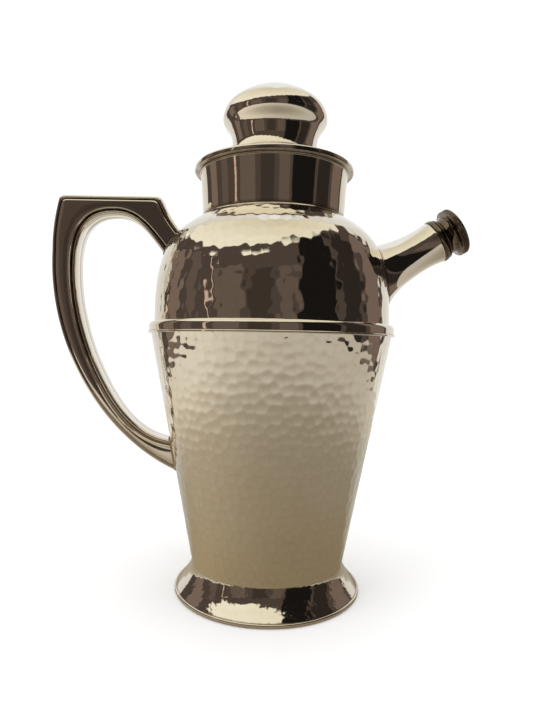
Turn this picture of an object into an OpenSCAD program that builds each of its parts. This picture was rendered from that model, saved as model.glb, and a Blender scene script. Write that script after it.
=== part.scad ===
// Lidded hammered-silver pitcher with a hollow strap handle, a raised side
// spout closed by a knurled screw cap, and a lift-off lid with a mushroom knob.
// Millimetres, +Z up. The origin is the centre of the foot on the table.
// The handle lies along -X and the spout along +X.

/* [Body] */
// Outer radius of the foot rim
foot_r = 52.4; // [51:0.1:54]
// Height of the flared foot
foot_h = 16; // [15:0.5:17]
// Outer radius where the body meets the foot
base_r = 43; // [42:0.1:44]
// Outer radius of the lower body at the waist seam
waist_r = 68.4; // [67.8:0.1:69]
// Height of the waist seam
waist_z = 147; // [146:0.5:148]
// Outer radius of the shoulder wall above the waist
shoulder_r = 66.1; // [65.6:0.1:66.4]
// Sheet thickness of the raised shells
wall = 1; // [0.8:0.1:1.1]

/* [Neck] */
// Height where the neck rises from the shoulder
neck_z = 209.8; // [209:0.2:210.4]
// Outer radius at the bottom of the neck
neck_r = 40.1; // [39.8:0.1:40.4]
// Height of the mouth rim
mouth_z = 234.6; // [234:0.2:235]

/* [Lid] */
// Outer radius of the lid flange
lid_r = 45; // [44.5:0.1:46]
// Outer radius of the sleeve that plugs into the neck
plug_r = 38.7; // [38.2:0.1:38.7]
// Depth of the sleeve below the lid
plug_depth = 16.7; // [12:0.1:20]
// Largest radius of the knob
knob_r = 29.8; // [28:0.1:31]
// Height of the top of the knob
knob_top_z = 285.5; // [284:0.5:287]

/* [Handle] */
// Half of the handle's width across its two stamped sides
handle_hw = 8; // [7:0.1:9]
// Sheet thickness of the handle halves
handle_wall = 1.1; // [0.9:0.1:1.3]
// Height of the flat top of the handle
handle_top_z = 221.2; // [219:0.1:223]
// Thickness of the solder pads between handle and body
pad_t = 1.2; // [0.8:0.1:1.5]

/* [Spout] */
// Distance of the spout mouth's centre from the body axis
spout_x = 92.2; // [91:0.1:94]
// Height of the spout mouth's centre
spout_z = 198.5; // [198:0.1:200]
// Rise of the spout axis above the horizontal
spout_angle = 29.6; // [28:0.1:31]
// Outer radius of the spout mouth
spout_r = 12.1; // [11.9:0.05:12.3]
// Outer radius of the cap's knurled head
cap_r = 13.75; // [13:0.05:14.5]
// Pitch of the cap's thread
thread_pitch = 3; // [3:0.5:3]

/* [Hidden] */
$fn = 96;
silver = [0.82, 0.79, 0.72];
silver_dark = [0.70, 0.67, 0.60];
tarnish = [0.30, 0.25, 0.20];
cork = [0.62, 0.45, 0.28];

// slope of the lower body's straight cone
cone_k = (waist_r - base_r) / (waist_z - foot_h);
function cone_r(z) = base_r + cone_k * (z - foot_h);

// a cubic curve through a and d, pulled by b and c
function bz(a, b, c, d, n, from = 0) = [for (i = [from:n]) let (t = i / n, u = 1 - t)
    u * u * u * a + 3 * u * u * t * b + 3 * u * t * t * c + t * t * t * d];
function rev(p) = [for (i = [len(p) - 1:-1:0]) p[i]];
function shift(p, d) = [for (q = p) [q[0] + d, q[1]]];

// outside of the shoulder, from the waist seam up to the neck
function shoulder_path() = concat(
    [[shoulder_r, waist_z]],
    bz([shoulder_r, waist_z + 10], [shoulder_r, waist_z + 25], [shoulder_r - 2.9, waist_z + 37],
       [shoulder_r - 6.1, waist_z + 44], 7),
    bz([shoulder_r - 6.1, waist_z + 44], [shoulder_r - 9.6, neck_z - 11.2], [neck_r + 9.4, neck_z - 5.8],
       [neck_r + 1.5, neck_z - 1.2], 7, 1));
// inside of the shoulder, one sheet thickness in
function shoulder_inner() = concat(
    [[shoulder_r - wall, waist_z]],
    bz([shoulder_r - wall, waist_z + 10], [shoulder_r - wall, waist_z + 24.6], [shoulder_r - 3.8, waist_z + 36.2],
       [shoulder_r - 7, waist_z + 43.3], 7),
    bz([shoulder_r - 7, waist_z + 43.3], [shoulder_r - 10.4, neck_z - 11.9], [neck_r + 8.7, neck_z - 6.8],
       [neck_r + 0.4, neck_z - 2], 7, 1));

// solid that fills the body out to its surface, grown by g
module body_solid(g) {
    rotate_extrude() polygon(concat([[0, foot_h], [base_r + g, foot_h], [waist_r + g, waist_z]],
        shift(shoulder_path(), g), [[0, neck_z - 1.2]]));
}

// ---- body ----
module lower_body() {
    color(silver) rotate_extrude() polygon([
        [base_r, foot_h], [waist_r, waist_z], [shoulder_r - wall, waist_z],
        [shoulder_r - wall, waist_z - wall], [waist_r - wall - cone_k, waist_z - wall],
        [base_r - wall, foot_h]]);
}

module shoulder() {
    color(silver) difference() {
        rotate_extrude() polygon(concat(shoulder_path(), [[neck_r, neck_z], [neck_r - wall, neck_z]],
            rev(shoulder_inner())));
        on_spout() translate([0, 0, -48]) cylinder(r = 9.5, h = 28);
    }
}

module waist_band() {
    z = waist_z;
    color(silver_dark) rotate_extrude() polygon([
        [cone_r(z - 3.4), z - 3.4], [69.5, z - 3.4], [69.5, z - 2.6], [68.95, z - 2.2], [68.9, z + 0.3],
        [68.75, z + 1.1], [68.3, z + 2], [67.6, z + 2.7], [66.8, z + 3.1], [shoulder_r, z + 3.2],
        [shoulder_r, z], [waist_r, z]]);
}

module body_floor() {
    k = cone_k;
    color(silver_dark) rotate_extrude() polygon([
        [0, foot_h + 1.2], [12, foot_h + 1], [base_r - wall + k * 0.2, foot_h + 0.2],
        [base_r - wall + k * 1.2, foot_h + 1.2], [12, foot_h + 2], [0, foot_h + 2.2]]);
}

module foot() {
    outer = bz([foot_r - 0.9, 2.3], [foot_r - 3.8, 6], [base_r + 1.2, foot_h - 6], [base_r, foot_h], 12);
    inner = bz([foot_r - 2.3, 2.3], [foot_r - 5.2, 5.8], [base_r + 0.1, foot_h - 6.2], [base_r - wall, foot_h], 12);
    color(silver) rotate_extrude() polygon(concat(outer, rev(inner)));
}

module foot_rim() {
    color(silver_dark) rotate_extrude() polygon([
        [foot_r - 2.6, 0], [foot_r - 0.8, 0], [foot_r - 0.25, 0.3], [foot_r, 0.9], [foot_r, 1.4],
        [foot_r - 0.25, 2], [foot_r - 0.7, 2.3], [foot_r - 2.6, 2.3]]);
}

// ---- neck ----
module neck_collar() {
    h = mouth_z - neck_z;
    outer = bz([neck_r, neck_z], [neck_r + 0.6, neck_z + 0.33 * h], [neck_r + 0.8, neck_z + 0.66 * h],
               [neck_r + 1.8, mouth_z - 1.2], 8);
    color(silver) rotate_extrude() polygon(concat(outer, rev(shift(outer, -wall))));
}

module neck_rim_ring() {
    z = mouth_z;
    r = neck_r + 2.1;
    color(silver_dark) rotate_extrude() polygon([
        [neck_r - 0.4, z - 1.2], [r - 0.2, z - 1.2], [r, z - 0.9], [r, z - 0.3], [r - 0.3, z],
        [neck_r - 0.1, z], [neck_r - 0.4, z - 0.3]]);
}

// ---- handle ----
// closed outline of the handle in its own plane, as [x, z]
function handle_outline() = concat(
    bz([-50, 64.2], [-91, 80], [-127.8, 131], [-125.3, 190], 12),
    bz([-125.3, 190], [-125.5, 201], [-123.9, 211], [-121.3, handle_top_z], 5, 1),
    bz([-63.6, handle_top_z], [-60.5, 213], [-57, 206], [-46, 195], 6),
    bz([-54, 178], [-72.5, 204.5], [-79, 210.6], [-91.6, 209.8], 8),
    bz([-91.6, 209.8], [-107, 209.3], [-110.9, 196], [-110.7, 180], 7, 1),
    bz([-110.7, 180], [-110.6, 163], [-106.6, 146], [-101.1, 132.1], 5, 1),
    bz([-101.1, 132.1], [-89, 103], [-74, 82.5], [-50, 83.8], 8, 1));

// the outline moved inwards by d, with mitred corners
function unit(v) = v / norm(v);
function inset(p, d) = [for (i = [0:len(p) - 1]) let (
    n = len(p), a = unit(p[i] - p[(i + n - 1) % n]), b = unit(p[(i + 1) % n] - p[i]),
    na = [a[1], -a[0]], nb = [b[1], -b[0]]) p[i] + d * (na + nb) / max(0.45, 1 + na * nb)];

// one stamped half: a raised side panel with stepped edges, hollow behind
module handle_half() {
    o = handle_outline();
    lip = 2.2;
    difference() {
        rotate([90, 0, 0]) difference() {
            union() {
                linear_extrude(handle_hw - 1.8) polygon(o);
                linear_extrude(handle_hw) polygon(inset(o, lip));
            }
            translate([0, 0, -1]) linear_extrude(handle_hw - 1.8 - handle_wall + 1) polygon(inset(o, handle_wall));
            translate([0, 0, -1]) linear_extrude(handle_hw - handle_wall + 1) polygon(inset(o, lip + handle_wall));
        }
        body_solid(pad_t);
    }
}

module handle_left_half() { color(silver) mirror([0, 1, 0]) handle_half(); }
module handle_right_half() { color(silver) handle_half(); }

// a pad that hugs the body between z0 and z1
module pad(z0, z1) {
    intersection() {
        difference() { body_solid(pad_t); body_solid(0); }
        translate([-80, -handle_hw - 0.8, z0]) cube([50, 2 * handle_hw + 1.6, z1 - z0]);
    }
}

module handle_upper_pad() { color(silver_dark) pad(187.4, 202.8); }
module handle_lower_pad() { color(silver_dark) pad(66, 85.6); }

// ---- spout ----
// local frame: +Z runs out of the spout, 0 at the mouth
module on_spout() {
    translate([spout_x, 0, spout_z]) rotate([0, 90 - spout_angle, 0]) children();
}

module spout_tube() {
    outer = concat(
        bz([spout_r, 0], [spout_r - 1, -6], [spout_r - 0.95, -13], [spout_r + 0.1, -20], 7),
        bz([spout_r + 0.1, -20], [spout_r + 1.1, -27], [spout_r + 2.4, -34], [spout_r + 8.6, -42], 8, 1),
        [[spout_r + 11.2, -45]]);
    inner = concat(
        [[9.9, 0], [9.9, -12]],
        bz([spout_r - 0.9, -20], [spout_r + 0.1, -27], [spout_r + 1.4, -34.2], [spout_r + 7.6, -42.4], 8),
        [[spout_r + 10.2, -45]]);
    color(silver) difference() {
        on_spout() rotate_extrude() polygon(concat(outer, rev(inner)));
        body_solid(0);
    }
}

module spout_strainer() {
    color(silver_dark) on_spout() translate([0, 0, -24.4]) difference() {
        cylinder(r = 11.5, h = 0.8);
        translate([0, 0, -1]) {
            cylinder(r = 1.1, h = 3);
            for (k = [0:5]) rotate(k * 60) translate([4, 0, 0]) cylinder(r = 1.1, h = 3);
            for (k = [0:11]) rotate(k * 30 + 15) translate([8, 0, 0]) cylinder(r = 1.1, h = 3);
        }
    }
}

// a helical ridge between angles a0 and a1; its root is at r0 and its crest at r1
module ridge(r0, r1, z0, a0, a1) {
    n = round((a1 - a0) / 15);
    function q(i) = let (a = a0 + (a1 - a0) * i / n, z = z0 + thread_pitch * a / 360,
        c = cos(a), s = sin(a))
        [[r0 * c, r0 * s, z - 0.75], [r1 * c, r1 * s, z - 0.35], [r1 * c, r1 * s, z + 0.35], [r0 * c, r0 * s, z + 0.75]];
    pts = [for (i = [0:n]) each q(i)];
    flip = r1 > r0;
    sides = [for (i = [0:n - 1], j = [0:3]) let (a = 4 * i + j, b = 4 * i + (j + 1) % 4, c = b + 4, d = a + 4)
        each [[a, c, b], [a, d, c]]];
    caps = [[0, 1, 2], [0, 2, 3], [4 * n + 2, 4 * n + 1, 4 * n], [4 * n + 3, 4 * n + 2, 4 * n]];
    faces = concat(sides, caps);
    polyhedron(pts, flip ? [for (f = faces) [f[0], f[2], f[1]]] : faces);
}

module spout_thread_ring() {
    color(silver_dark) on_spout() union() {
        difference() {
            translate([0, 0, -9]) cylinder(r = 9.9, h = 9);
            translate([0, 0, -10]) cylinder(r = 9, h = 11);
        }
        ridge(9.4, 8.45, -5.1, -330, 480);
    }
}

module spout_cap() {
    color(tarnish) on_spout() union() {
        rotate_extrude() polygon([
            [6.3, -8], [7.6, -8], [8, -7.6], [8, 1], [10.6, 1], [10.6, 0.1], [11.7, 0.1],
            [12.2, 0.6], [12.45, 1.2], [12.45, 2], [12.2, 2.7], [11.6, 3.2],
            [11.2, 3.35], [11.2, 3.6], [11.75, 3.8], [11.75, 4.5], [11.3, 4.8],
            [10.5, 5.2], [10.3, 6], [10.4, 8.6], [11.2, 9.7], [12.6, 10.2],
            [cap_r - 0.4, 10.3], [cap_r, 10.8], [cap_r, 13.7], [cap_r - 0.3, 14.3], [cap_r - 1, 14.7],
            [9, 15.3], [4.5, 15.6], [0, 15.7], [0, 8], [6.3, 8]]);
        ridge(7.6, 8.75, -6.6, 0, 600);
    }
}

module cap_gasket() {
    color(cork) on_spout() difference() {
        translate([0, 0, 0.05]) cylinder(r = 10.5, h = 0.9);
        translate([0, 0, -1]) cylinder(r = 8.2, h = 3);
    }
}

// ---- lid ----
lid_z = mouth_z + 0.1;
module lid_cover() {
    z = lid_z;
    outer = concat([[3.1, z + 8.3], [27.5, z + 8.3]],
        bz([28, z + 8.2], [33, z + 7], [35, z + 3.2], [39, z + 3.1], 6),
        [[lid_r - 1.7, z + 3.1], [lid_r - 0.9, z + 2.9], [lid_r - 0.25, z + 2.3], [lid_r, z + 1.5],
         [lid_r, z + 0.6], [lid_r - 0.3, z + 0.15], [lid_r - 0.9, z]]);
    inner = concat([[3.1, z + 7.3], [27.2, z + 7.3]],
        bz([27.6, z + 7.2], [32.4, z + 6], [34, z + 2.2], [37, z + 2.1], 6),
        [[lid_r - 1.6, z + 2.1], [lid_r - 0.9, z + 1.6]]);
    color(silver) rotate_extrude() polygon(concat(outer, rev(inner)));
}

module lid_seat_ring() {
    z = lid_z;
    color(silver_dark) rotate_extrude() polygon([
        [39.9, z + 0.2], [40.1, z], [lid_r - 1, z], [lid_r - 1, z + 1.5], [lid_r - 1.7, z + 2.1], [39.9, z + 2.1]]);
}

module lid_plug() {
    z = lid_z;
    color(silver) rotate_extrude() polygon([
        [plug_r - 0.9, z + 2], [plug_r, z + 2], [plug_r, z - plug_depth + 2.3], [plug_r - 0.3, z - plug_depth + 1.4],
        [plug_r - 0.1, z - plug_depth + 0.6], [plug_r - 0.5, z - plug_depth], [plug_r - 1.3, z - plug_depth],
        [plug_r - 1.5, z - plug_depth + 0.6], [plug_r - 0.9, z - plug_depth + 1.6]]);
}

module knob_base_ring() {
    z = lid_z + 8.3;
    color(silver_dark) rotate_extrude() polygon([
        [22.5, z], [26.6, z], [27, z + 0.5], [27, z + 1.1], [26.5, z + 1.7], [25.8, z + 2], [22.5, z + 2]]);
}

knob_z0 = lid_z + 10.3;
knob_zm = 266;
module knob_lower() {
    outer = concat(
        bz([25.6, knob_z0], [24.2, 248.5], [23.3, 254.5], [26.2, 259.2], 7),
        bz([26.2, 259.2], [27.8, 261.8], [knob_r - 0.05, 263.2], [knob_r, knob_zm], 6, 1));
    inner = concat(
        bz([24.8, knob_z0], [23.4, 248.5], [22.5, 254.7], [25.5, 259.6], 7),
        bz([25.5, 259.6], [27, 262.2], [knob_r - 0.85, 263.5], [knob_r - 0.8, knob_zm], 6, 1));
    color(silver) rotate_extrude() polygon(concat(outer, rev(inner)));
}

module knob_dome() {
    t = knob_top_z;
    outer = concat(
        bz([knob_r, knob_zm], [knob_r - 0.2, 270.6], [27.3, 274.2], [22.1, 277.4], 6),
        bz([22.1, 277.4], [16.5, 280.9], [8.5, t], [0, t], 8, 1));
    inner = concat(
        bz([knob_r - 0.8, knob_zm], [knob_r - 1, 270.3], [26.6, 273.7], [21.6, 276.7], 6),
        bz([21.6, 276.7], [16.4, 279.9], [12, t - 2.4], [7.5, t - 1.7], 6, 1), [[0, t - 1.7]]);
    color(silver) rotate_extrude() polygon(concat(outer, rev(inner)));
}

module knob_stud() {
    color(silver_dark) union() {
        translate([0, 0, lid_z + 1.8]) cylinder(r = 3, h = knob_top_z - 1.7 - lid_z - 1.8);
        translate([0, 0, knob_top_z - 3.2]) cylinder(r = 6.5, h = 1.5);
        translate([0, 0, lid_z + 8.3]) cylinder(r = 5, h = 2);
    }
}

module knob_washer() {
    color(silver_dark) translate([0, 0, lid_z + 6.3]) difference() {
        cylinder(r = 9, h = 1);
        translate([0, 0, -1]) cylinder(r = 3.1, h = 3);
    }
}

module knob_nut() {
    color(silver_dark) translate([0, 0, lid_z + 2.6]) difference() {
        cylinder(r = 6.4, h = 3.7, $fn = 6);
        translate([0, 0, -1]) cylinder(r = 3.05, h = 6);
    }
}

lower_body();
shoulder();
waist_band();
body_floor();
foot();
foot_rim();
neck_collar();
neck_rim_ring();
handle_left_half();
handle_right_half();
handle_upper_pad();
handle_lower_pad();
spout_tube();
spout_strainer();
spout_thread_ring();
spout_cap();
cap_gasket();
lid_cover();
lid_seat_ring();
lid_plug();
knob_base_ring();
knob_lower();
knob_dome();
knob_stud();
knob_washer();
knob_nut();
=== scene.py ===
import math
import random

import bmesh
import bpy
import numpy as np
from mathutils import Matrix, Vector


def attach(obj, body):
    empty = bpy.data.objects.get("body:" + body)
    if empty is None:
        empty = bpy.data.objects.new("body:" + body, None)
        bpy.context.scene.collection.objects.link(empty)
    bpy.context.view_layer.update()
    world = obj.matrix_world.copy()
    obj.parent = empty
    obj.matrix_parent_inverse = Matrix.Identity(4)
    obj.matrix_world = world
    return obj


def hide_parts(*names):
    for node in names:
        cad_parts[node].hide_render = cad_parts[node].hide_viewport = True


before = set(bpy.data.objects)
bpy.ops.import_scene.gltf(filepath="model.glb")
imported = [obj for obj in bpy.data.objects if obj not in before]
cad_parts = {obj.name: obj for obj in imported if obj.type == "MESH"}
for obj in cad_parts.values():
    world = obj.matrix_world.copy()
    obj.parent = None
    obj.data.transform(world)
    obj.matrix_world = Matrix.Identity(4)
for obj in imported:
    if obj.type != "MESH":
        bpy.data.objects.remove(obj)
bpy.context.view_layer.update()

random.seed(7)
RNG = np.random.default_rng(7)
MM = 0.001
scene = bpy.context.scene

# ------------------------------------------------------------------ camera
cam_data = bpy.data.cameras.new("camera")
cam = bpy.data.objects.new("camera", cam_data)
scene.collection.objects.link(cam)
yaw, pitch, roll = 0.00774, 0.01484, 0.01932
fwd = Vector((-math.sin(yaw) * math.cos(pitch), math.cos(yaw) * math.cos(pitch), -math.sin(pitch)))
right0 = Vector((math.cos(yaw), math.sin(yaw), 0))
up0 = right0.cross(fwd)
cx = math.cos(roll) * right0 + math.sin(roll) * up0
cy = -math.sin(roll) * right0 + math.cos(roll) * up0
rot = Matrix((cx, cy, -fwd)).transposed().to_4x4()
cam.matrix_world = Matrix.Translation(Vector((0, -0.3147, 0.1368))) @ rot
cam_data.sensor_width = 36
cam_data.lens = 27.65
cam_data.clip_start = 0.01
cam_data.clip_end = 50
scene.camera = cam
scene.view_settings.view_transform = "Standard"
scene.view_settings.look = "None"


# ------------------------------------------------------------------ small tools
def srgb(c):
    """A colour given as 0 to 255 values, as linear light."""
    out = []
    for v in c:
        v = v / 255
        out.append(v / 12.92 if v <= 0.04045 else ((v + 0.055) / 1.055) ** 2.4)
    return tuple(out)


def bz(a, b, c, d, n, start=0):
    a, b, c, d = (np.array(p, float) for p in (a, b, c, d))
    return [tuple((1 - t) ** 3 * a + 3 * (1 - t) ** 2 * t * b + 3 * (1 - t) * t * t * c + t ** 3 * d)
            for t in (i / n for i in range(start, n + 1))]


def rounded(poly, radii, closed=True, steps=4):
    """The polyline with chosen corners turned to arcs: radii maps a point's index to its radius."""
    n = len(poly)
    out = []
    for i, p in enumerate(poly):
        r = radii.get(i, 0) if isinstance(radii, dict) else radii
        if r <= 0 or (not closed and i in (0, n - 1)):
            out.append(p)
            continue
        p = np.array(p, float)
        a, b = np.array(poly[i - 1], float), np.array(poly[(i + 1) % n], float)
        u, v = a - p, b - p
        lu, lv = np.linalg.norm(u), np.linalg.norm(v)
        u, v = u / lu, v / lv
        half = math.acos(max(-1, min(1, float(u @ v)))) / 2
        if half > 1.5 or half < 0.05:
            out.append(tuple(p))
            continue
        t = min(r / math.tan(half), 0.48 * lu, 0.48 * lv)
        s, e = p + u * t, p + v * t
        for k in range(steps + 1):
            w = k / steps
            q = (1 - w) ** 2 * s + 2 * w * (1 - w) * p + w * w * e
            out.append(tuple(q))
    return out


def make(name, verts, faces, mat=None, smooth=35, attrs=None, matrix=None):
    """A mesh object from vertices in millimetres."""
    mesh = bpy.data.meshes.new(name)
    v = np.array(verts, float) * MM
    mesh.from_pydata([tuple(p) for p in v], [], faces)
    for key, values in (attrs or {}).items():
        at = mesh.attributes.new(key, "FLOAT", "POINT")
        at.data.foreach_set("value", np.array(values, np.float32))
    if matrix is not None:
        mesh.transform(matrix)
    mesh.validate()
    obj = bpy.data.objects.new(name, mesh)
    scene.collection.objects.link(obj)
    fix(obj, smooth)
    if mat:
        mesh.materials.append(mat)
    return obj


def fix(obj, smooth=35):
    bm = bmesh.new()
    bm.from_mesh(obj.data)
    bmesh.ops.remove_doubles(bm, verts=bm.verts, dist=1e-7)
    bmesh.ops.recalc_face_normals(bm, faces=bm.faces)
    bm.to_mesh(obj.data)
    bm.free()
    obj.data.shade_smooth()
    if smooth:
        obj.data.set_sharp_from_angle(angle=math.radians(smooth))


def lathe(name, prof, mat=None, seg=256, smooth=35, closed=True, tarnish_and_shade=None, wave=0.0, matrix=None):
    """A solid of revolution round +Z. prof is a closed loop of (r, z) in mm, or an open path whose two ends are on the axis."""
    prof = [(max(0.0, float(r)), float(z)) for r, z in prof]
    th = np.linspace(0, 2 * math.pi, seg, endpoint=False)
    c, s = np.cos(th), np.sin(th)
    verts, rows, gv = [], [], []
    ph = [(k, float(RNG.uniform(0, 6.28)), float(RNG.uniform(0, 6.28))) for k in (3, 5, 8, 13)]
    for i, (r, z) in enumerate(prof):
        g = tarnish_and_shade[i] if tarnish_and_shade else 0
        if r < 1e-6:
            rows.append([len(verts)])
            verts.append((0, 0, z))
            gv.append(g)
            continue
        rr = r
        if wave:
            rr = r + wave * sum(np.sin(k * th + p1 + 0.35 * math.sin(z * 0.11 * k + p2)) / k for k, p1, p2 in ph) - 1.2 * wave
        rows.append(list(range(len(verts), len(verts) + seg)))
        verts += list(zip(rr * c, rr * s, np.full(seg, z)))
        gv += [g] * seg
    faces = []
    last = len(rows) if closed else len(rows) - 1
    for i in range(last):
        a, b = rows[i], rows[(i + 1) % len(rows)]
        if len(a) == 1 and len(b) == 1:
            continue
        for k in range(seg):
            m = (k + 1) % seg
            if len(a) == 1:
                faces.append((a[0], b[k], b[m]))
            elif len(b) == 1:
                faces.append((a[k], b[0], a[m]))
            else:
                faces.append((a[k], b[k], b[m], a[m]))
    return make(name, verts, faces, mat, smooth, {"tarnish_and_shade": gv}, matrix)


def boolean(obj, cutter, op="DIFFERENCE", smooth=35):
    mod = obj.modifiers.new("b", "BOOLEAN")
    mod.operation = op
    mod.object = cutter
    mod.solver = "MANIFOLD"
    bpy.context.view_layer.update()
    dg = bpy.context.evaluated_depsgraph_get()
    me = bpy.data.meshes.new_from_object(obj.evaluated_get(dg), preserve_all_data_layers=True, depsgraph=dg)
    obj.modifiers.remove(mod)
    mats = [m for m in obj.data.materials]
    obj.data = me
    me.materials.clear()
    for m in mats:
        me.materials.append(m)
    bpy.data.objects.remove(cutter)
    me.shade_smooth()
    if smooth:
        me.set_sharp_from_angle(angle=math.radians(smooth))
    return obj


def place(obj, body, slot, *nodes):
    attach(obj, body)
    if nodes:
        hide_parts(*nodes)
    return obj


# ------------------------------------------------------------------ materials
class Nodes:
    def __init__(self, name):
        self.mat = bpy.data.materials.new(name)
        self.mat.use_nodes = True
        self.t = self.mat.node_tree
        self.t.nodes.clear()
        self.out = self.t.nodes.new("ShaderNodeOutputMaterial")
        self.b = self.t.nodes.new("ShaderNodeBsdfPrincipled")
        self.t.links.new(self.b.outputs[0], self.out.inputs[0])
        self.pos = self.t.nodes.new("ShaderNodeTexCoord").outputs["Object"]

    def link(self, a, b):
        self.t.links.new(a, b)

    def noise(self, scale, detail=2, rough=0.5, stretch=(1, 1, 1), distort=0.0):
        m = self.t.nodes.new("ShaderNodeMapping")
        m.inputs["Scale"].default_value = stretch
        self.link(self.pos, m.inputs["Vector"])
        n = self.t.nodes.new("ShaderNodeTexNoise")
        n.inputs["Scale"].default_value = scale
        n.inputs["Detail"].default_value = detail
        n.inputs["Roughness"].default_value = rough
        n.inputs["Distortion"].default_value = distort
        self.link(m.outputs[0], n.inputs["Vector"])
        return n.outputs["Fac"]

    def ramp(self, fac, stops, smooth=True):
        r = self.t.nodes.new("ShaderNodeValToRGB")
        r.color_ramp.interpolation = "EASE" if smooth else "LINEAR"
        e = r.color_ramp.elements
        e[0].position, e[1].position = stops[0][0], stops[-1][0]
        for pos, col in stops[1:-1]:
            e.new(pos)
        for el, (pos, col) in zip(e, stops):
            el.position = pos
            el.color = (col[0], col[1], col[2], 1) if hasattr(col, "__len__") else (col, col, col, 1)
        self.link(fac, r.inputs[0])
        return r.outputs["Color"]

    def range(self, fac, a, b, lo_in=0.0, hi_in=1.0):
        m = self.t.nodes.new("ShaderNodeMapRange")
        for k, v in zip(("From Min", "From Max", "To Min", "To Max"), (lo_in, hi_in, a, b)):
            m.inputs[k].default_value = v
        self.link(fac, m.inputs["Value"])
        return m.outputs[0]

    def math(self, op, a, b=0.5, clamp=False):
        m = self.t.nodes.new("ShaderNodeMath")
        m.operation = op
        m.use_clamp = clamp
        for i, v in enumerate((a, b)):
            if isinstance(v, (int, float)):
                m.inputs[i].default_value = v
            else:
                self.link(v, m.inputs[i])
        return m.outputs[0]

    def mix(self, fac, a, b, blend="MIX"):
        m = self.t.nodes.new("ShaderNodeMix")
        m.data_type = "RGBA"
        m.blend_type = blend
        for sock, v in ((m.inputs[0], fac), (m.inputs[6], a), (m.inputs[7], b)):
            if isinstance(v, (int, float)):
                sock.default_value = v
            elif isinstance(v, tuple):
                sock.default_value = (*v, 1)
            else:
                self.link(v, sock)
        return m.outputs[2]

    def attr(self, name):
        a = self.t.nodes.new("ShaderNodeAttribute")
        a.attribute_name = name
        return a.outputs["Fac"]

    def bump(self, height, dist, strength=1.0, normal=None):
        b = self.t.nodes.new("ShaderNodeBump")
        b.inputs["Strength"].default_value = strength
        b.inputs["Distance"].default_value = dist
        self.link(height, b.inputs["Height"])
        if normal is not None:
            self.link(normal, b.inputs["Normal"])
        return b.outputs[0]

    def height(self):
        """The piece's own height above the table, in metres."""
        s = self.t.nodes.new("ShaderNodeSeparateXYZ")
        self.link(self.pos, s.inputs[0])
        return s.outputs[2]


def silver(name, base=(0.93, 0.90, 0.83), warm=(0.80, 0.70, 0.52), rough=(0.03, 0.075), tarnish=0.30,
           tarnish_and_shade_col=(0.20, 0.13, 0.08), wave=0.00008, scratch=0.25, low_warm=None, metallic=1.0, ripple=0.0):
    """Old polished silver: a warm film in soft blotches, brown tarnish in the grooves plus painted shade under the
    lid's flange, hairline scratches and a slight hand-worked wave.
    """
    n = Nodes(name)
    blotch = n.noise(26, 4, 0.6, distort=0.6)
    film = n.ramp(blotch, [(0.40, 0.0), (0.72, tarnish)])
    col = n.mix(film, base, warm)
    if low_warm:
        low = n.range(n.height(), low_warm, 0.0, 0.012, 0.075)
        col = n.mix(low, col, (0.80, 0.70, 0.50))
    fine = n.noise(420, 3, 0.7)
    col = n.mix(n.range(fine, 0.0, 0.10, 0.45, 0.75), col, (0.62, 0.55, 0.42))
    g = n.attr("tarnish_and_shade")
    # the per-vertex attribute read here darkens to brown: real tarnish in grooves and joints, and painted shade on the
    # lid flange's underside
    tarnish_and_shade_mask = n.math("MULTIPLY", g, n.range(n.noise(160, 3), 0.55, 1.0, 0.3, 0.6), True)
    col = n.mix(tarnish_and_shade_mask, col, tarnish_and_shade_col)
    n.link(col, n.b.inputs["Base Color"])
    n.b.inputs["Metallic"].default_value = metallic
    r = n.range(n.noise(60, 5, 0.65), rough[0], rough[1], 0.3, 0.7)
    hair = n.noise(900, 2, 0.5, stretch=(1.0, 1.0, 0.06))
    hair2 = n.noise(1000, 2, 0.5, stretch=(0.08, 1.0, 1.0))
    marks = n.math("MULTIPLY", n.range(hair, 0, 1, 0.66, 0.75), scratch, True)
    marks2 = n.math("MULTIPLY", n.range(hair2, 0, 1, 0.67, 0.76), scratch, True)
    r = n.math("ADD", r, n.math("MULTIPLY", n.math("MAXIMUM", marks, marks2), 0.25))
    r = n.math("ADD", r, n.math("MULTIPLY", tarnish_and_shade_mask, 0.32), True)
    n.link(r, n.b.inputs["Roughness"])
    nrm = n.bump(n.noise(38, 2, 0.4), wave * 6, 0.5)
    if ripple:
        nrm = n.bump(n.noise(170, 2, 0.5), ripple, 0.6, nrm)
    nrm = n.bump(n.noise(700, 3, 0.6), 0.000012, 0.5, nrm)
    n.link(nrm, n.b.inputs["Normal"])
    return n.mat


M_HAMMER = silver("silver_hammered", low_warm=0.42, tarnish=0.26, wave=0.00004)
M_SHOULDER = silver("silver_hammered_shoulder", tarnish=0.18, wave=0.00003)
M_POLISH = silver("silver_polished", tarnish=0.20, rough=(0.025, 0.06), wave=0.00005)
M_FOOT = silver("silver_polished_foot", tarnish=0.30, rough=(0.03, 0.08), wave=0.0002, ripple=0.0004)
M_KNOB = silver("silver_polished_knob", tarnish=0.22, rough=(0.03, 0.06), wave=0.00010, ripple=0.00012)
M_CAST = silver("silver_handle", base=(0.90, 0.86, 0.79), warm=(0.76, 0.63, 0.46), tarnish=0.35, rough=(0.05, 0.12), wave=0.00008,
                tarnish_and_shade_col=(0.10, 0.065, 0.04))
M_SATIN = silver("silver_satin", base=(0.84, 0.80, 0.72), warm=(0.66, 0.56, 0.40), tarnish=0.5, rough=(0.16, 0.30), scratch=0.5)
M_PAD = silver("silver_solder", base=(0.72, 0.66, 0.56), warm=(0.42, 0.32, 0.20), tarnish=0.8, rough=(0.14, 0.30), wave=0.0002)


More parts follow.
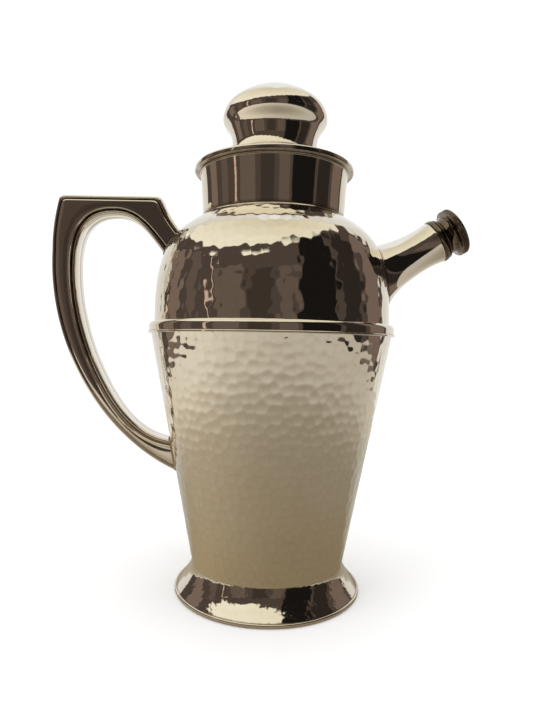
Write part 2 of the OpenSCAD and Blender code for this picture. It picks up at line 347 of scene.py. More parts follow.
def tarnished():
    n = Nodes("tarnished_metal")
    g = n.attr("tarnish_and_shade")
    blotch = n.noise(120, 4, 0.65, distort=0.4)
    col = n.mix(n.ramp(blotch, [(0.35, 0.0), (0.7, 1.0)]), (0.15, 0.125, 0.10), (0.30, 0.25, 0.20))
    col = n.mix(n.math("MULTIPLY", g, 0.85, True), col, (0.045, 0.032, 0.022))
    rub = n.range(n.noise(500, 3, 0.6), 0.0, 0.22, 0.5, 0.75)
    col = n.mix(rub, col, (0.62, 0.55, 0.46))
    n.link(col, n.b.inputs["Base Color"])
    n.b.inputs["Metallic"].default_value = 1.0
    r = n.range(n.noise(200, 4), 0.05, 0.12, 0.3, 0.7)
    r = n.math("ADD", r, n.math("MULTIPLY", g, 0.22), True)
    n.link(r, n.b.inputs["Roughness"])
    n.link(n.bump(n.noise(900, 2, 0.5), 0.000008, 0.5), n.b.inputs["Normal"])
    return n.mat


def corkmat():
    n = Nodes("cork_grain")
    v = n.t.nodes.new("ShaderNodeTexVoronoi")
    v.inputs["Scale"].default_value = 900
    n.link(n.pos, v.inputs["Vector"])
    cell = v.outputs["Distance"]
    col = n.ramp(n.noise(500, 5, 0.7), [(0.3, (0.30, 0.16, 0.075)), (0.5, (0.52, 0.33, 0.18)), (0.7, (0.66, 0.47, 0.28))])
    pit = n.ramp(n.noise(1500, 3, 0.6), [(0.62, 0.0), (0.70, 1.0)])
    col = n.mix(pit, col, (0.12, 0.06, 0.03))
    n.link(col, n.b.inputs["Base Color"])
    n.b.inputs["Roughness"].default_value = 0.82
    n.link(n.bump(n.mix(0.5, cell, n.noise(900, 4)), 0.00012, 0.8), n.b.inputs["Normal"])
    return n.mat


def brassmat():
    n = Nodes("brass_fixing")
    col = n.mix(n.ramp(n.noise(180, 4, 0.6), [(0.35, 0.0), (0.7, 0.8)]), (0.78, 0.58, 0.30), (0.42, 0.28, 0.12))
    n.link(col, n.b.inputs["Base Color"])
    n.b.inputs["Metallic"].default_value = 1.0
    n.link(n.range(n.noise(300, 4), 0.18, 0.38, 0.3, 0.7), n.b.inputs["Roughness"])
    n.link(n.bump(n.noise(800, 3), 0.00002, 0.5), n.b.inputs["Normal"])
    return n.mat


M_TARNISH, M_CORK, M_BRASS = tarnished(), corkmat(), brassmat()

# ------------------------------------------------------------------ the body's lines, in mm
FOOT_R, FOOT_H, BASE_R, WAIST_R, WAIST_Z = 52.4, 16.0, 43.0, 68.4, 147.0
SH_R, NECK_Z, NECK_R, MOUTH_Z, LID_R = 66.1, 209.8, 40.1, 234.6, 45.0
CONE_K = (WAIST_R - BASE_R) / (WAIST_Z - FOOT_H)
LID_Z = MOUTH_Z + 0.1


def cone_r(z):
    return BASE_R + CONE_K * (z - FOOT_H)


def shoulder_line(g=0.0, n=60):
    return ([(SH_R + g, WAIST_Z)]
            + bz((SH_R + g, WAIST_Z + 10), (SH_R + g, WAIST_Z + 25), (SH_R - 2.9 + g, WAIST_Z + 37), (SH_R - 6.1 + g, WAIST_Z + 44), n)
            + bz((SH_R - 6.1 + g, WAIST_Z + 44), (SH_R - 9.6 + g, NECK_Z - 11.2), (NECK_R + 9.4 + g, NECK_Z - 5.8), (NECK_R + 1.5 + g, NECK_Z - 1.2), n, 1))


def body_solid(name, g):
    prof = [(0, 10), (BASE_R + g - CONE_K * 6, 10), (WAIST_R + g, WAIST_Z)] + shoulder_line(g, 24) + [(0, NECK_Z - 1.2)]
    return lathe(name, prof, seg=256, closed=False, smooth=0)


def resample(path, step):
    p = np.array(path, float)
    d = np.r_[0, np.cumsum(np.linalg.norm(np.diff(p, axis=0), axis=1))]
    n = max(2, int(round(d[-1] / step)))
    s = np.linspace(0, d[-1], n + 1)
    return np.c_[np.interp(s, d, p[:, 0]), np.interp(s, d, p[:, 1])], s


def dimples(s_rows, r_rows, seg, s0, s1, row_gap=5.1, gap=5.35, k=0.0145, seed=3, fade=(1.2, 1.2)):
    """How far each point of a surface of revolution is sunk by hammer marks: shallow dishes in staggered rows, meeting in soft ridges."""
    rng = np.random.default_rng(seed)
    n_rows = int(round((s1 - s0) / row_gap)) + 3
    marks = []
    for j in range(n_rows):
        sj = s0 + (j - 1) * row_gap
        rj = float(np.interp(sj, s_rows, r_rows))
        m = max(8, int(round(2 * math.pi * rj / gap)))
        th = (np.arange(m) + 0.5 * (j % 2) + rng.uniform(0, 1)) * 2 * math.pi / m + rng.uniform(-0.30, 0.30, m) * gap / rj
        marks.append((sj, m, th, sj + rng.uniform(-0.30, 0.30, m) * row_gap, rng.uniform(-1.5, 1.5, m) * k, rng.uniform(0.8, 1.2, m)))
    theta = np.arange(seg) * 2 * math.pi / seg
    beta = 40.0
    depth, ridge = np.zeros((len(s_rows), seg)), np.zeros((len(s_rows), seg))
    cell_max = k * (3.35 ** 2)
    for i, (s, r) in enumerate(zip(s_rows, r_rows)):
        best = []
        j0 = int(round((s - s0) / row_gap)) + 1
        for j in range(max(0, j0 - 2), min(n_rows, j0 + 3)):
            sj, m, th, ss, w, kk = marks[j]
            base = np.floor((theta - th[0]) / (2 * math.pi / m)).astype(int)
            for o in (-2, -1, 0, 1, 2):
                idx = (base + o) % m
                dth = (theta - th[idx] + math.pi) % (2 * math.pi) - math.pi
                best.append(k * kk[idx] * ((r * dth) ** 2 + (s - ss[idx]) ** 2) + w[idx])
        b = np.array(best)
        mn = b.min(0)
        soft = mn - np.log(np.exp(-beta * (b - mn)).sum(0)) / beta
        sink = np.clip(cell_max - soft, 0, 0.30)
        f = min(1.0, max(0.0, (s - s_rows[0]) / fade[0]), max(0.0, (s_rows[-1] - s) / fade[1]))
        f = f * f * (3 - 2 * f)
        depth[i] = sink * f
        two = np.partition(b, 1, axis=0)
        ridge[i] = np.exp(-((two[1] - two[0]) / (4.2 * k)) ** 2) * f
    return depth, ridge


def hammered(name, path, inner, mat, seg, step, seed, s_span, fade=(1.2, 1.2), k=0.0145, line=0.14):
    pts, s = resample(path, step)
    r, z = pts[:, 0], pts[:, 1]
    tang = np.gradient(pts, axis=0)
    tang /= np.linalg.norm(tang, axis=1, keepdims=True)
    nr, nz = tang[:, 1], -tang[:, 0]
    dep, ridge = dimples(s, r, seg, s_span[0], s[-1] - s_span[1], k=k, seed=seed, fade=fade)
    th = np.arange(seg) * 2 * math.pi / seg
    R = r[:, None] - nr[:, None] * dep
    Z = z[:, None] - nz[:, None] * dep
    verts = np.stack([R * np.cos(th), R * np.sin(th), Z], -1).reshape(-1, 3).tolist()
    rows = len(pts)
    gv = (ridge * line).reshape(-1).tolist()
    faces = []
    for i in range(rows - 1):
        a = i * seg
        for q in range(seg):
            m = (q + 1) % seg
            faces.append((a + q, a + m, a + seg + m, a + seg + q))
    # the inner wall, coarser, joined at both rims
    prev = (rows - 1) * seg
    for (ri, zi) in inner:
        start = len(verts)
        verts += list(zip(ri * np.cos(th), ri * np.sin(th), np.full(seg, zi)))
        gv += [0.25] * seg
        for q in range(seg):
            m = (q + 1) % seg
            faces.append((prev + q, prev + m, start + m, start + q))
        prev = start
    for q in range(seg):
        m = (q + 1) % seg
        faces.append((prev + q, prev + m, m, q))
    return make(name, verts, faces, mat, 40, {"tarnish_and_shade": gv})


# ------------------------------------------------------------------ body
SEG_H = 512
lower = hammered("body_hammered_cone", [(BASE_R, FOOT_H), (WAIST_R - 0.02, WAIST_Z - 0.1)],
                 [(SH_R - 1, WAIST_Z - 0.1), (SH_R - 1, WAIST_Z - 1), (WAIST_R - 1 - CONE_K, WAIST_Z - 1), (cone_r(100) - 1.02, 100),
                  (cone_r(58) - 1.02, 58), (BASE_R - 1, FOOT_H)],
                 M_HAMMER, SEG_H, 0.82, 11, (1.2, 0.6), fade=(1.4, 0.3), k=0.0145, line=0.085)
place(lower, "pitcher", "silver_hammered", "lower_body")


def sh_inner():
    a = bz((SH_R - 1, WAIST_Z + 10), (SH_R - 1, WAIST_Z + 24.6), (SH_R - 3.8, WAIST_Z + 36.2), (SH_R - 7, WAIST_Z + 43.3), 16)
    b = bz((SH_R - 7, WAIST_Z + 43.3), (SH_R - 10.4, NECK_Z - 11.9), (NECK_R + 8.7, NECK_Z - 6.8), (NECK_R + 0.4, NECK_Z - 2), 16, 1)
    return [(SH_R - 1, WAIST_Z)] + a + b + [(NECK_R - 1, NECK_Z)]


sh_path = shoulder_line() + [(NECK_R + 0.6, NECK_Z - 0.75), (NECK_R, NECK_Z)]
shoulder = hammered("shoulder_hammered_dome", sh_path, sh_inner()[::-1], M_SHOULDER, SEG_H, 0.72, 23, (4.2, 3.2), fade=(3.4, 3.6), k=0.0150, line=0.05)

SP = Vector((0.0922, 0, 0.1985))
SPM = Matrix.Translation(SP) @ Matrix.Rotation(math.radians(90 - 29.6), 4, "Y")

cut = lathe("hole_cut", [(0, -48), (9.5, -48), (9.5, -20), (0, -20)], seg=96, closed=False, smooth=0, matrix=SPM)
boolean(shoulder, cut, smooth=40)
place(shoulder, "pitcher", "silver_hammered", "shoulder")

z = WAIST_Z
band_prof = ([(cone_r(z - 3.4) - 0.05, z - 3.4)] + rounded([(cone_r(z - 3.4) - 0.05, z - 3.4), (69.49, z - 3.4), (69.49, z - 2.6), (68.95, z - 2.2)], {1: 0.35, 2: 0.3}, closed=False, steps=5)[1:]
             + bz((68.95, z - 2.2), (68.78, z - 1.2), (68.82, z - 0.4), (68.9, z + 0.3), 8, 1)
             + bz((68.9, z + 0.3), (68.95, z + 1.7), (68.1, z + 3.1), (66.1, z + 3.2), 16, 1)
             + [(SH_R - 0.05, z + 3.2), (SH_R - 0.05, z), (WAIST_R - 0.05, z)])
band = lathe("waist_band_moulding", band_prof, M_POLISH, 384, tarnish_and_shade=[0.9 if (q[0] < 66.4 and q[1] > z + 3) or abs(q[1] - (z - 2.25)) < 0.12 else 0.0 for q in band_prof])
place(band, "pitcher", "silver_polished", "waist_band")

foot_out = bz((FOOT_R - 0.9, 2.3), (FOOT_R - 3.8, 6), (BASE_R + 1.2, FOOT_H - 6), (BASE_R, FOOT_H), 40)
foot_in = bz((FOOT_R - 2.3, 2.3), (FOOT_R - 5.2, 5.8), (BASE_R + 0.1, FOOT_H - 6.2), (BASE_R - 1, FOOT_H), 20)
gr = [0.0] * len(foot_out) + [0.6] * len(foot_in)
gr[0], gr[1] = 0.8, 0.3
gr[len(foot_out) - 1] = 0.7
foot = lathe("foot_flare", foot_out + foot_in[::-1], M_FOOT, 384, tarnish_and_shade=gr, wave=0.035)
place(foot, "pitcher", "silver_polished", "foot")
rim_poly = [(FOOT_R - 2.6, 0), (FOOT_R, 0), (FOOT_R, 2.3), (FOOT_R - 2.6, 2.3)]
rim_prof = rounded(rim_poly, {0: 0.3, 1: 1.0, 2: 0.95}, steps=8)
rim = lathe("foot_rim_roll", rim_prof, M_FOOT, 384, tarnish_and_shade=[0.7 if q[1] < 0.25 or (q[1] > 2.25 and q[0] < FOOT_R - 0.6) else 0.05 for q in rim_prof])
place(rim, "pitcher", "silver_polished", "foot_rim")

# ------------------------------------------------------------------ neck
h = MOUTH_Z - NECK_Z
neck_out = bz((NECK_R, NECK_Z), (NECK_R + 0.6, NECK_Z + 0.33 * h), (NECK_R + 0.8, NECK_Z + 0.66 * h), (NECK_R + 1.8, MOUTH_Z - 1.2), 24)
neck_in = [(r - 1, zz) for r, zz in neck_out]
ng = [0.0] * len(neck_out) + [0.2] * len(neck_in)
ng[0] = 1.0
ng[1] = 0.35
neck = lathe("neck_collar_wall", neck_out + neck_in[::-1], M_POLISH, 320, tarnish_and_shade=ng, wave=0.02)
place(neck, "pitcher", "silver_polished", "neck_collar")
r = NECK_R + 2.1
ring_prof = rounded([(NECK_R - 0.4, MOUTH_Z - 1.2), (r, MOUTH_Z - 1.2), (r, MOUTH_Z), (NECK_R - 0.4, MOUTH_Z)], {1: 0.35, 2: 0.35, 3: 0.35}, steps=5)
ring = lathe("mouth_rim_ring", ring_prof, M_POLISH, 320, tarnish_and_shade=[0.3] * len(ring_prof))
place(ring, "pitcher", "silver_polished", "neck_rim_ring")

# ------------------------------------------------------------------ lid
z = LID_Z
cov_out = ([(3.1, z + 8.3), (27.0, z + 8.3)] + bz((27.6, z + 8.3), (33, z + 7.2), (35, z + 3.2), (39, z + 3.1), 24)
           + rounded([(39, z + 3.1), (LID_R, z + 3.1), (LID_R, z), (LID_R - 0.9, z)], {1: 1.55, 2: 0.55}, closed=False, steps=10)[1:])
cov_in = [(3.1, z + 7.3), (27.2, z + 7.3)] + bz((27.6, z + 7.2), (32.4, z + 6), (34, z + 2.2), (37, z + 2.1), 12) + [(LID_R - 1.6, z + 2.1), (LID_R - 0.9, z + 1.6)]
# painted shade: the flange's lower rounded edge (r over 42, below z + 1.25) is darkened as if shaded underneath; the
# band at r 26 to 28.2 is tarnish in the joint with the knob
cg = [0.75 if (26.0 < q[0] < 28.2) else (0.62 if q[0] > 42 and q[1] < z + 1.25 else 0.0) for q in cov_out] + [0.4] * len(cov_in)
cover = lathe("lid_cover_shell", cov_out + cov_in[::-1], M_POLISH, 384, tarnish_and_shade=cg, wave=0.02)
place(cover, "lid", "silver_polished", "lid_cover")
seat_prof = rounded([(39.9, z), (LID_R - 1, z), (LID_R - 1, z + 1.5), (LID_R - 1.7, z + 2.1), (39.9, z + 2.1)], {0: 0.2}, steps=3)
seat = lathe("lid_seat_ring_flat", seat_prof, M_SATIN, 256, tarnish_and_shade=[0.5] * len(seat_prof))
place(seat, "lid", "silver_satin", "lid_seat_ring")
PR = 38.7
plug_prof = ([(PR - 0.9, z + 2), (PR, z + 2), (PR, z - 13.9)] + bz((PR, z - 13.9), (PR - 0.45, z - 14.6), (PR - 0.45, z - 15.2), (PR - 0.1, z - 15.9), 6, 1)
             + bz((PR - 0.1, z - 15.9), (PR - 0.1, z - 16.6), (PR - 0.6, z - 16.7), (PR - 0.9, z - 16.7), 5, 1)
             + bz((PR - 0.9, z - 16.7), (PR - 1.5, z - 16.7), (PR - 1.7, z - 15.8), (PR - 0.9, z - 14.9), 8, 1))
plug = lathe("lid_plug_sleeve", plug_prof, M_SATIN, 256, tarnish_and_shade=[0.15] * len(plug_prof))
place(plug, "lid_sleeve", "silver_satin", "lid_plug")

# ------------------------------------------------------------------ knob
zb = z + 8.3
kb_prof = rounded([(22.5, zb), (26.9, zb), (27, zb + 1.1), (25.9, zb + 2), (22.5, zb + 2)], {1: 0.3, 2: 0.7, 3: 0.5}, steps=6)
kb = lathe("knob_base_bead", kb_prof, M_KNOB, 256, tarnish_and_shade=[0.9 if q[1] < zb + 0.15 or q[0] < 25.9 and q[1] > zb + 1.9 else 0.0 for q in kb_prof])
place(kb, "lid", "silver_polished", "knob_base_ring")
kz0, kzm, KR, KT = z + 10.3, 266.0, 29.8, 285.5
kl_out = bz((25.6, kz0), (24.2, 248.5), (23.3, 254.5), (26.2, 259.2), 28) + bz((26.2, 259.2), (27.8, 261.8), (KR - 0.05, 263.2), (KR, kzm), 20, 1)
kl_in = bz((24.8, kz0), (23.4, 248.5), (22.5, 254.7), (25.5, 259.6), 10) + bz((25.5, 259.6), (27, 262.2), (KR - 0.85, 263.5), (KR - 0.8, kzm), 8, 1)
kg = [0.0] * len(kl_out) + [0.2] * len(kl_in)
kg[0] = 0.9
kg[1] = 0.3
kl = lathe("knob_lower_shell", kl_out + kl_in[::-1], M_KNOB, 288, tarnish_and_shade=kg, wave=0.03)
place(kl, "lid", "silver_polished", "knob_lower")
kd_out = bz((KR, kzm), (KR - 0.2, 270.6), (27.3, 274.2), (22.1, 277.4), 24) + bz((22.1, 277.4), (16.5, 280.9), (8.5, KT), (0, KT), 30, 1)
kd_in = bz((KR - 0.8, kzm), (KR - 1, 270.3), (26.6, 273.7), (21.6, 276.7), 10) + bz((21.6, 276.7), (16.4, 279.9), (12, KT - 2.4), (7.5, KT - 1.7), 10, 1) + [(0, KT - 1.7)]
kd = lathe("knob_dome_shell", kd_in[::-1] + kd_out, M_KNOB, 288, closed=False, wave=0.03)
place(kd, "lid", "silver_polished", "knob_dome")

# ------------------------------------------------------------------ handle
C1 = (bz((-50, 64.2), (-91, 80), (-127.8, 131), (-125.3, 190), 160) + bz((-125.3, 190), (-125.5, 201), (-123.9, 211), (-121.3, 221.2), 40, 1))
C2 = [(-121.3 + (57.7 * i / 40), 221.2) for i in range(41)]
C3 = bz((-63.6, 221.2), (-60.5, 213), (-57, 206), (-46, 195), 40)
C5 = (bz((-54, 178), (-72.5, 204.5), (-79, 210.6), (-91.6, 209.8), 50) + bz((-91.6, 209.8), (-107, 209.3), (-110.9, 196), (-110.7, 180), 40, 1)
      + bz((-110.7, 180), (-110.6, 163), (-106.6, 146), (-101.1, 132.1), 50, 1) + bz((-101.1, 132.1), (-89, 103), (-74, 82.5), (-50, 83.8), 60, 1))
# (inset, height) of the moulded section: along the outer edge, and along the edge round the finger gap
OUT_SEC = [(0.22, 0.0), (0.0, 0.32), (0.0, 2.2), (0.06, 3.6), (0.22, 4.8), (0.50, 5.8), (0.90, 6.5), (1.35, 6.9), (1.80, 7.02), (2.15, 6.86),
           (2.40, 6.42), (2.58, 6.22), (2.76, 6.40), (2.95, 7.00), (3.20, 7.50), (3.50, 7.76), (3.9, 7.86), (4.4, 7.90)]
IN_SEC = [(0.22, 0.0), (0.0, 0.32), (0.0, 2.6), (0.05, 4.2), (0.22, 5.4), (0.50, 6.3), (0.95, 6.95), (1.45, 7.20), (1.95, 7.12), (2.35, 6.72),
          (2.65, 6.10), (2.90, 5.86), (3.15, 6.15), (3.40, 6.95), (3.70, 7.62), (4.05, 7.92), (4.45, 7.86), (4.9, 7.80)]
GROOVE = [0.5, 0.0, 0, 0, 0, 0, 0, 0.0, 0.1, 0.45, 0.9, 1.0, 0.9, 0.5, 0.15, 0.0, 0, 0]
NA, NB, NC, CW = 150, 44, 26, 6


def offset(p, d):
    p = np.array(p, float)
    t = np.gradient(p, axis=0)
    t /= np.linalg.norm(t, axis=1, keepdims=True)
    return p + d * np.c_[t[:, 1], -t[:, 0]]


def meet(a, b):
    """Cuts or extends the end of a and the start of b to where they cross."""
    a = np.vstack([a, a[-1] + (a[-1] - a[-2]) / np.linalg.norm(a[-1] - a[-2]) * 9])
    b = np.vstack([b[0] + (b[0] - b[1]) / np.linalg.norm(b[0] - b[1]) * 9, b])
    for i in range(len(a) - 2, -1, -1):
        p, r_ = a[i], a[i + 1] - a[i]
        q, s_ = b[:-1], b[1:] - b[:-1]
        den = r_[0] * s_[:, 1] - r_[1] * s_[:, 0]
        den = np.where(abs(den) < 1e-12, 1e-12, den)
        w = q - p
        t = (w[:, 0] * s_[:, 1] - w[:, 1] * s_[:, 0]) / den
        u = (w[:, 0] * r_[1] - w[:, 1] * r_[0]) / den
        ok = np.where((t >= -1e-9) & (t <= 1 + 1e-9) & (u >= -1e-9) & (u <= 1 + 1e-9))[0]
        if len(ok):
            j = ok[0]
            x = p + t[j] * r_
            return np.vstack([a[:i + 1], x]), np.vstack([x, b[j + 1:]])
    return a[:-1], b[1:]


def spread(p, n, t0=0.0, t1=1.0):
    d = np.r_[0, np.cumsum(np.linalg.norm(np.diff(p, axis=0), axis=1))]
    s = np.linspace(d[-1] * t0, d[-1] * t1, n + 1)
    return np.c_[np.interp(s, d, p[:, 0]), np.interp(s, d, p[:, 1])]


def loop(do, di):
    """One ring round the handle: NA + NB + NC steps along the outside, CW across, the same back round the gap, CW across."""
    a, b, c, e = offset(C1, do + 0.12), offset(C2, do), offset(C3, do), offset(C5, di)
    a, b = meet(a, b)
    b, c = meet(b, c)
    outer = np.vstack([spread(a, NA), spread(b, NB)[1:], spread(c, NC)[1:]])
    for corner in (NA, NA + NB):
        for _ in range(3):
            q = slice(corner - 2, corner + 3)
            outer[q] = 0.25 * outer[corner - 3:corner + 2] + 0.5 * outer[q] + 0.25 * outer[corner - 1:corner + 4]
    f1, f2 = 0.120, 0.330
    inner = np.vstack([spread(e, NC, 0, f1), spread(e, NB, f1, f2)[1:], spread(e, NA, f2, 1.0)[1:]])
    return outer, inner


def handle_half(name, side):
    verts, gv, faces = [], [], []
    n = NA + NB + NC

    def add_ring(do, di, yo, yi, g):
        o, i = loop(do, di)
        start = len(verts)
        ring_pts = [(x, yo, zz) for x, zz in o]
        for q in range(1, CW):
            w = q / CW
            ring_pts.append(tuple((1 - w) * np.array((o[-1][0], yo, o[-1][1])) + w * np.array((i[0][0], yi, i[0][1]))))
        ring_pts += [(x, yi, zz) for x, zz in i]
        for q in range(1, CW):
            w = q / CW
            ring_pts.append(tuple((1 - w) * np.array((i[-1][0], yi, i[-1][1])) + w * np.array((o[0][0], yo, o[0][1]))))
        for p in ring_pts:
            verts.append((p[0], side * p[1], p[2]))
            gv.append(g * min(1.0, max(0.22, (p[2] - 98) / 42)))
        return start, len(ring_pts)

    def bridge(a, b, m):
        for q in range(m):
            p = (q + 1) % m
            faces.append((a + q, a + p, b + p, b + q))

    def panel(start, crown):
        """Fills the inside of a ring with a grid across the band."""
        inner0 = start + n + CW
        end0 = start + n + 1
        last0 = inner0 + n + 1
        prev = None
        for j in range(n + 1):
            A, B = start + j, inner0 + (n - j)
            if j == 0:
                mid = [last0 + (CW - 2 - q) for q in range(CW - 1)]
            elif j == n:
                mid = [end0 + q for q in range(CW - 1)]
            else:
                mid = []
                pa, pb = np.array(verts[A]), np.array(verts[B])
                for q in range(1, CW):
                    w = q / CW
                    p = (1 - w) * pa + w * pb
                    lift = crown * (1 - (2 * w - 1) ** 2)
                    mid.append(len(verts))
                    verts.append((p[0], p[1] + side * lift, p[2]))
                    gv.append(0.0)
            row = [A] + mid + [B]
            if prev:
                for q in range(CW):
                    faces.append((prev[q], prev[q + 1], row[q + 1], row[q]))
            prev = row

    first = prev_ring = None
    for (do, yo), (di, yi), g in zip(OUT_SEC, IN_SEC, GROOVE):
        st, m = add_ring(do, di, yo, yi, g)
        if prev_ring is None:
            first = st
        else:
            bridge(prev_ring, st, m)
        prev_ring = st
    panel(prev_ring, 0.10)
    inner_first = None
    for do, di, y in ((1.25, 1.25, 0.0), (1.15, 1.15, 4.6), (2.0, 2.0, 5.3), (3.9, 4.3, 5.5), (4.6, 5.0, 6.4)):
        st, m = add_ring(do, di, y, y, 0.2)
        if inner_first is None:
            inner_first = st
        else:
            bridge(prev_ring, st, m)
        prev_ring = st
    panel(prev_ring, 0.0)
    bridge(first, inner_first, m)
    o = make(name, verts, faces, M_CAST, 0, {"tarnish_and_shade": gv})
    boolean(o, body_solid("cut", 0.35), smooth=42)
    return o


place(handle_half("handle_half_left", 1), "pitcher", "silver_cast", "handle_left_half")
place(handle_half("handle_half_right", -1), "pitcher", "silver_cast", "handle_right_half")


def body_r(zz, g):
    if zz <= WAIST_Z:
        return cone_r(zz) + g
    line = np.array(shoulder_line(g, 60))
    return float(np.interp(zz, line[:, 1], line[:, 0]))


def pad(name, z0, z1, node):
    """A solder pad that hugs the body under a handle end, soft at its edges."""
    nu, nv, hw = 26, 26, 8.75
    verts, faces, gv = [], [], []
    us = np.linspace(0, 1, nu + 1)
    for skin in (0, 1):
        for u in us:
            for v in np.linspace(-1, 1, nv + 1):
                zz = z0 + (z1 - z0) * u
                edge = min(u * (z1 - z0), (1 - u) * (z1 - z0), (1 - abs(v)) * hw)
                k = min(1.0, edge / 1.4)
                g = -0.30 + 1.48 * math.sqrt(max(0.0, 1 - (1 - k) ** 2)) if skin == 0 else -0.45
                y = v * hw
                rr = body_r(zz, g)
                x = -math.sqrt(max(1, rr * rr - y * y))
                verts.append((x, y, zz))
                gv.append(0.55 if skin == 0 else 0.8)
    row, size = nv + 1, (nu + 1) * (nv + 1)
    for i in range(nu):
        for j in range(nv):
            a = i * row + j
            faces.append((a, a + 1, a + row + 1, a + row))
            faces.append((size + a, size + a + row, size + a + row + 1, size + a + 1))
    border = ([(0, j) for j in range(nv)] + [(i, nv) for i in range(nu)] + [(nu, j) for j in range(nv, 0, -1)] + [(i, 0) for i in range(nu, 0, -1)])
    ids = [i * row + j for i, j in border]
    for q in range(len(ids)):
        a, b = ids[q], ids[(q + 1) % len(ids)]
        faces.append((a, b, size + b, size + a))
    return place(make(name, verts, faces, M_PAD, 50, {"tarnish_and_shade": gv}), "pitcher", "silver_satin", node)


pad("handle_pad_upper", 187.4, 202.8, "handle_upper_pad")
pad("handle_pad_lower", 66.0, 85.6, "handle_lower_pad")

# ------------------------------------------------------------------ spout, in its own frame: +Z out, 0 at the mouth
R0 = 12.1
sp_out = (rounded([(9.95, 0), (R0, 0), (R0 - 0.16, -1.0)], {1: 0.5}, closed=False, steps=5)[:-1]
          + bz((R0 - 0.14, -0.9), (R0 - 1.0, -6), (R0 - 0.95, -13), (R0 + 0.1, -20), 30)
          + bz((R0 + 0.1, -20), (R0 + 1.1, -27), (R0 + 2.4, -34), (R0 + 8.6, -42), 36, 1) + [(R0 + 11.2, -45)])
sp_in = [(9.92, -0.1), (9.92, -12)] + bz((R0 - 0.9, -20), (R0 + 0.1, -27), (R0 + 1.4, -34.2), (R0 + 7.6, -42.4), 16) + [(R0 + 10.2, -45)]
spout = lathe("spout_tube_wall", sp_out + sp_in[::-1], M_POLISH, 192, smooth=0, wave=0.012, matrix=SPM)
boolean(spout, body_solid("cut", -0.25), smooth=40)
# brown film in the joint with the body
me = spout.data
co = np.zeros(len(me.vertices) * 3)
me.vertices.foreach_get("co", co)
co = co.reshape(-1, 3) / MM
rad = np.hypot(co[:, 0], co[:, 1])
line = np.array(shoulder_line(0, 60))
rb = np.interp(co[:, 2], line[:, 1], line[:, 0], left=SH_R)
near = np.clip(1 - (rad - rb - 0.1) / 0.9, 0, 1)
at = me.attributes.get("tarnish_and_shade") or me.attributes.new("tarnish_and_shade", "FLOAT", "POINT")
at.data.foreach_set("value", near.astype(np.float32))
place(spout, "pitcher", "silver_polished", "spout_tube")

# ------------------------------------------------------------------ cap: lathe with a cut diamond knurl and a thread
head0, head1, CR = 10.75, 13.65, 13.75
lower_prof = ([(6.3, -8), (7.6, -8), (8, -7.6), (8, 1)] + rounded([(8, 1), (10.6, 1), (10.6, 0.1), (11.6, 0.1)], {1: 0.1}, closed=False)[1:]
              + bz((11.6, 0.1), (12.72, 0.2), (12.72, 3.1), (11.6, 3.25), 16, 1) + [(11.15, 3.38), (11.15, 3.6)]
              + bz((11.15, 3.6), (11.95, 3.75), (11.95, 4.55), (11.1, 4.85), 8, 1)
              + bz((11.1, 4.85), (10.1, 5.5), (10.15, 7.4), (10.5, 8.8), 14, 1)
              + bz((10.5, 8.8), (11.0, 9.95), (12.3, 10.15), (13.1, 10.2), 10, 1)
              + bz((13.1, 10.2), (13.5, 10.25), (13.7, 10.4), (CR, 10.7), 5, 1))
upper_prof = (bz((CR, 13.7), (CR - 0.1, 14.2), (CR - 0.5, 14.5), (CR - 1.2, 14.6), 6)
              + bz((CR - 1.2, 14.6), (CR - 3.2, 14.8), (9, 15.3), (0, 15.66), 16, 1))
SEGC = 648
th = np.arange(SEGC) * 2 * math.pi / SEGC
cv, cf, cg = [], [], []


def c_row(rr, zz, g):
    start = len(cv)
    rr = np.broadcast_to(rr, (SEGC,))
    cv.extend(zip(rr * np.cos(th), rr * np.sin(th), np.full(SEGC, zz)))
    cg.extend(np.broadcast_to(g, (SEGC,)).tolist())
    return start


rows = []
for (rr, zz) in lower_prof:
    deep = 1.0 if (10.9 < rr < 11.3 and 3.2 < zz < 3.7) or (rr < 11.2 and 4.8 < zz < 5.0) else (0.35 if 5 < zz < 9.5 else 0.15)
    rows.append(c_row(rr, zz, deep))
NK, PITCH, DEEP = 104, 0.83, 0.27
for zz in np.arange(head0 + 0.05, head1 - 0.02, PITCH / 6):
    u = NK * th / (2 * math.pi)
    v = (zz - head0) / PITCH
    ga = np.abs(2 * ((u + v) % 1) - 1)
    gb = np.abs(2 * ((u - v) % 1) - 1)
    cutd = np.maximum(ga, gb)
    f = min(1.0, (zz - head0) / 0.35, (head1 - zz) / 0.35)
    f = max(0.0, f)
    rows.append(c_row(CR - DEEP * f * cutd ** 1.3, zz, np.clip(f * (cutd * 1.25 - 0.35), 0, 1)))
for (rr, zz) in upper_prof[:-1]:
    rows.append(c_row(rr, zz, 0.1))
for a, b in zip(rows[:-1], rows[1:]):
    for q in range(SEGC):
        m = (q + 1) % SEGC
        cf.append((a + q, a + m, b + m, b + q))
top = len(cv)
cv.append((0, 0, 15.66)); cg.append(0.1)
for q in range(SEGC):
    cf.append((rows[-1] + q, rows[-1] + (q + 1) % SEGC, top))
# the hollow of the plug
c1 = c_row(6.3, 8.0, 0.6)
c2 = len(cv)
cv.append((0, 0, 8.0)); cg.append(0.6)
for q in range(SEGC):
    m = (q + 1) % SEGC
    cf.append((rows[0] + m, rows[0] + q, c1 + q, c1 + m))
    cf.append((c1 + m, c1 + q, c2))
cap = make("spout_cap_knurled", cv, cf, M_TARNISH, 50, {"tarnish_and_shade": cg}, SPM)


